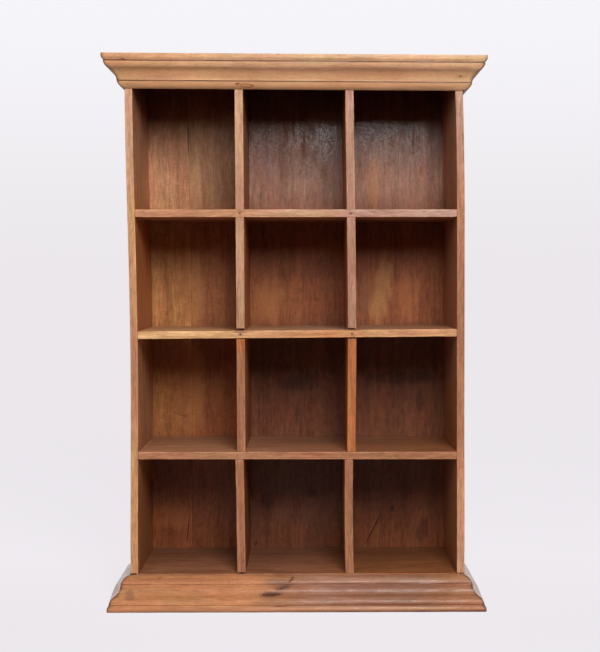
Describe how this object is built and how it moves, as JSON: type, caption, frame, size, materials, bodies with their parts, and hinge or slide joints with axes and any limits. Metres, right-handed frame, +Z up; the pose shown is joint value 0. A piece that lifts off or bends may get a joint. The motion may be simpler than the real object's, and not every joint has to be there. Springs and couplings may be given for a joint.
{
  "type": "pigeonhole mail sorter",
  "caption": "Free-standing wooden pigeonhole mail sorter: open compartments between shelves and upright dividers, with moulded cornice and plinth and a nailed plank back.",
  "frame": {"origin": "on the floor, at the centre of the overall width and depth", "axes": "+Z up, +X to the right seen from the front, +Y from the open front to the plank back"},
  "size_m": [0.605, 0.2326, 0.8855],
  "materials": {
    "side_wood": "waxed",
    "shelf_wood": "waxed",
    "base_and_top_wood": "waxed",
    "divider_wood": "waxed",
    "back_wood": "waxed",
    "cornice_wood": "waxed",
    "plinth_wood": "waxed",
    "nail_iron": "dark iron"
  },
  "bodies": {
    "root": {"side_panel_left": "side_wood", "side_panel_right": "side_wood", "shelf_upper": "shelf_wood", "shelf_middle": "shelf_wood", "shelf_lower": "shelf_wood", "base_board": "base_and_top_wood", "top_board": "base_and_top_wood", "divider_tall_left": "divider_wood", "divider_tall_right": "divider_wood", "divider_bottom_left": "divider_wood", "divider_bottom_right": "divider_wood", "back_plank_1": "back_wood", "back_plank_2": "back_wood", "back_plank_3": "back_wood", "back_plank_4": "back_wood", "cornice_front": "cornice_wood", "cornice_left": "cornice_wood", "cornice_right": "cornice_wood", "plinth_front": "plinth_wood", "plinth_left": "plinth_wood", "plinth_right": "plinth_wood", "crossing_nails": "nail_iron", "shelf_end_nails": "nail_iron", "divider_nails": "nail_iron", "back_nails": "nail_iron", "moulding_pins": "nail_iron"}
  },
  "joints": []
}
